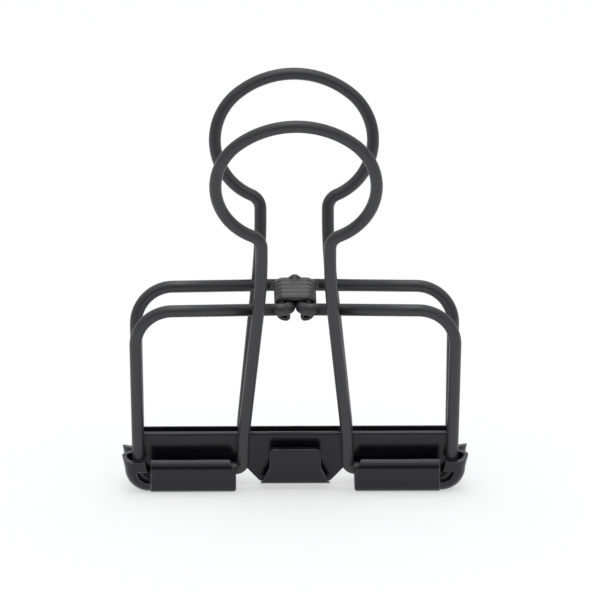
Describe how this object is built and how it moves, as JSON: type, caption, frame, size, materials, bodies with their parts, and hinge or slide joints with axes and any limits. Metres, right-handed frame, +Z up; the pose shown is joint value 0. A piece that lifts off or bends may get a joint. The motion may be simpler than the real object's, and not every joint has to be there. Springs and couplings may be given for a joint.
{
  "type": "bulldog clip",
  "caption": "Wire-bodied bulldog clip: sprung wire frames, a ribbed ferrule, hemmed sheet jaws and folding wire loop handles that squeeze the jaws open.",
  "frame": {"origin": "on the surface the clip stands on, in the middle of its base, between the two closed jaws", "axes": "+X along the jaws, +Y from the front jaw to the rear jaw, +Z up from the jaws to the handle loops"},
  "size_m": [0.051, 0.0308, 0.06],
  "materials": {
    "coated_wire": "satin black coating on spring steel wire",
    "lacquered_sheet": "glossy black lacquer on pressed steel sheet",
    "ferrule_band": "satin black coating on a crimped steel band"
  },
  "bodies": {
    "spine": {"ferrule": "ferrule_band", "left_spring_bridge": "coated_wire", "right_spring_bridge": "coated_wire"},
    "front_jaw": {"front_left_arm": "coated_wire", "front_right_arm": "coated_wire", "front_jaw_plate": "lacquered_sheet"},
    "rear_jaw": {"rear_left_arm": "coated_wire", "rear_right_arm": "coated_wire", "rear_jaw_plate": "lacquered_sheet"},
    "front_handle": {"front_handle": "coated_wire"},
    "rear_handle": {"rear_handle": "coated_wire"}
  },
  "joints": [
    {"name": "front_jaw_open", "type": "hinge", "parent": "spine", "child": "front_jaw", "pos_m": [0, -0.00626, 0.0291], "axis": [-1, 0, 0], "range_deg": [0, 24], "stiffness_Nm_per_rad": 0.6},
    {"name": "rear_jaw_open", "type": "hinge", "parent": "spine", "child": "rear_jaw", "pos_m": [0, 0.00626, 0.0291], "axis": [1, 0, 0], "range_deg": [0, 24], "stiffness_Nm_per_rad": 0.6},
    {"name": "front_handle_fold", "type": "hinge", "parent": "front_jaw", "child": "front_handle", "pos_m": [0, -0.00284, 0.00365], "axis": [1, 0, 0], "range_deg": [0, 165]},
    {"name": "rear_handle_fold", "type": "hinge", "parent": "rear_jaw", "child": "rear_handle", "pos_m": [0, 0.00284, 0.00365], "axis": [-1, 0, 0], "range_deg": [0, 165]}
  ],
  "couplings": [
    {"joint": "rear_jaw_open", "follows": "front_jaw_open", "ratio": 1}
  ]
}
